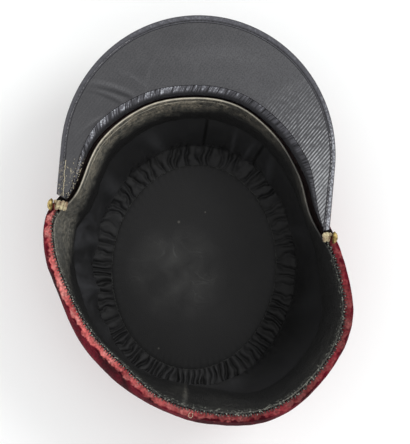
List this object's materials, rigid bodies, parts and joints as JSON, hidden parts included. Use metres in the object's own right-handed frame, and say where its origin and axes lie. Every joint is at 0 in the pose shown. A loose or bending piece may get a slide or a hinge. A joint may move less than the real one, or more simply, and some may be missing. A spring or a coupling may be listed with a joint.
{
  "type": "kepi cap",
  "caption": "Soft kepi cap resting on its flat crown: cloth wall, velvet band, leather sweatband, gathered lining, rounded leather peak, gold cord and side buttons.",
  "frame": {"origin": "centre of the crown's flat outer face, which the cap rests on", "axes": "+Z from the crown towards the open head opening, +Y towards the peak, +X to the right seen from above into the cap"},
  "size_m": [0.1932, 0.2479, 0.111],
  "materials": {
    "crown_cloth": "napped wool cloth",
    "wall_cloth": "napped wool cloth",
    "velvet": "worn velvet",
    "sweatband_leather": "worn smooth leather",
    "lining_cloth": "black cotton sateen",
    "lining_top_cloth": "black cotton sateen",
    "peak_leather": "glossy patent leather",
    "peak_lining_leather": "fine ribbed leather",
    "strip_leather": "puckered shiny leather",
    "binding_leather": "smooth binding leather",
    "gold_cord": "twisted gilt cord",
    "knot_cord": "wound pale gold cord",
    "button_brass": "dull gilt"
  },
  "bodies": {
    "root": {"crown_top": "crown_cloth", "crown_wall": "wall_cloth", "band": "velvet", "sweatband": "sweatband_leather", "lining": "lining_cloth", "lining_top": "lining_top_cloth", "peak": "peak_leather", "peak_lining": "peak_lining_leather", "peak_seam_strip": "strip_leather", "peak_binding": "binding_leather", "chin_cord": "gold_cord", "cord_knot_left": "knot_cord", "cord_knot_right": "knot_cord", "button_left": "button_brass", "button_right": "button_brass"}
  },
  "joints": []
}
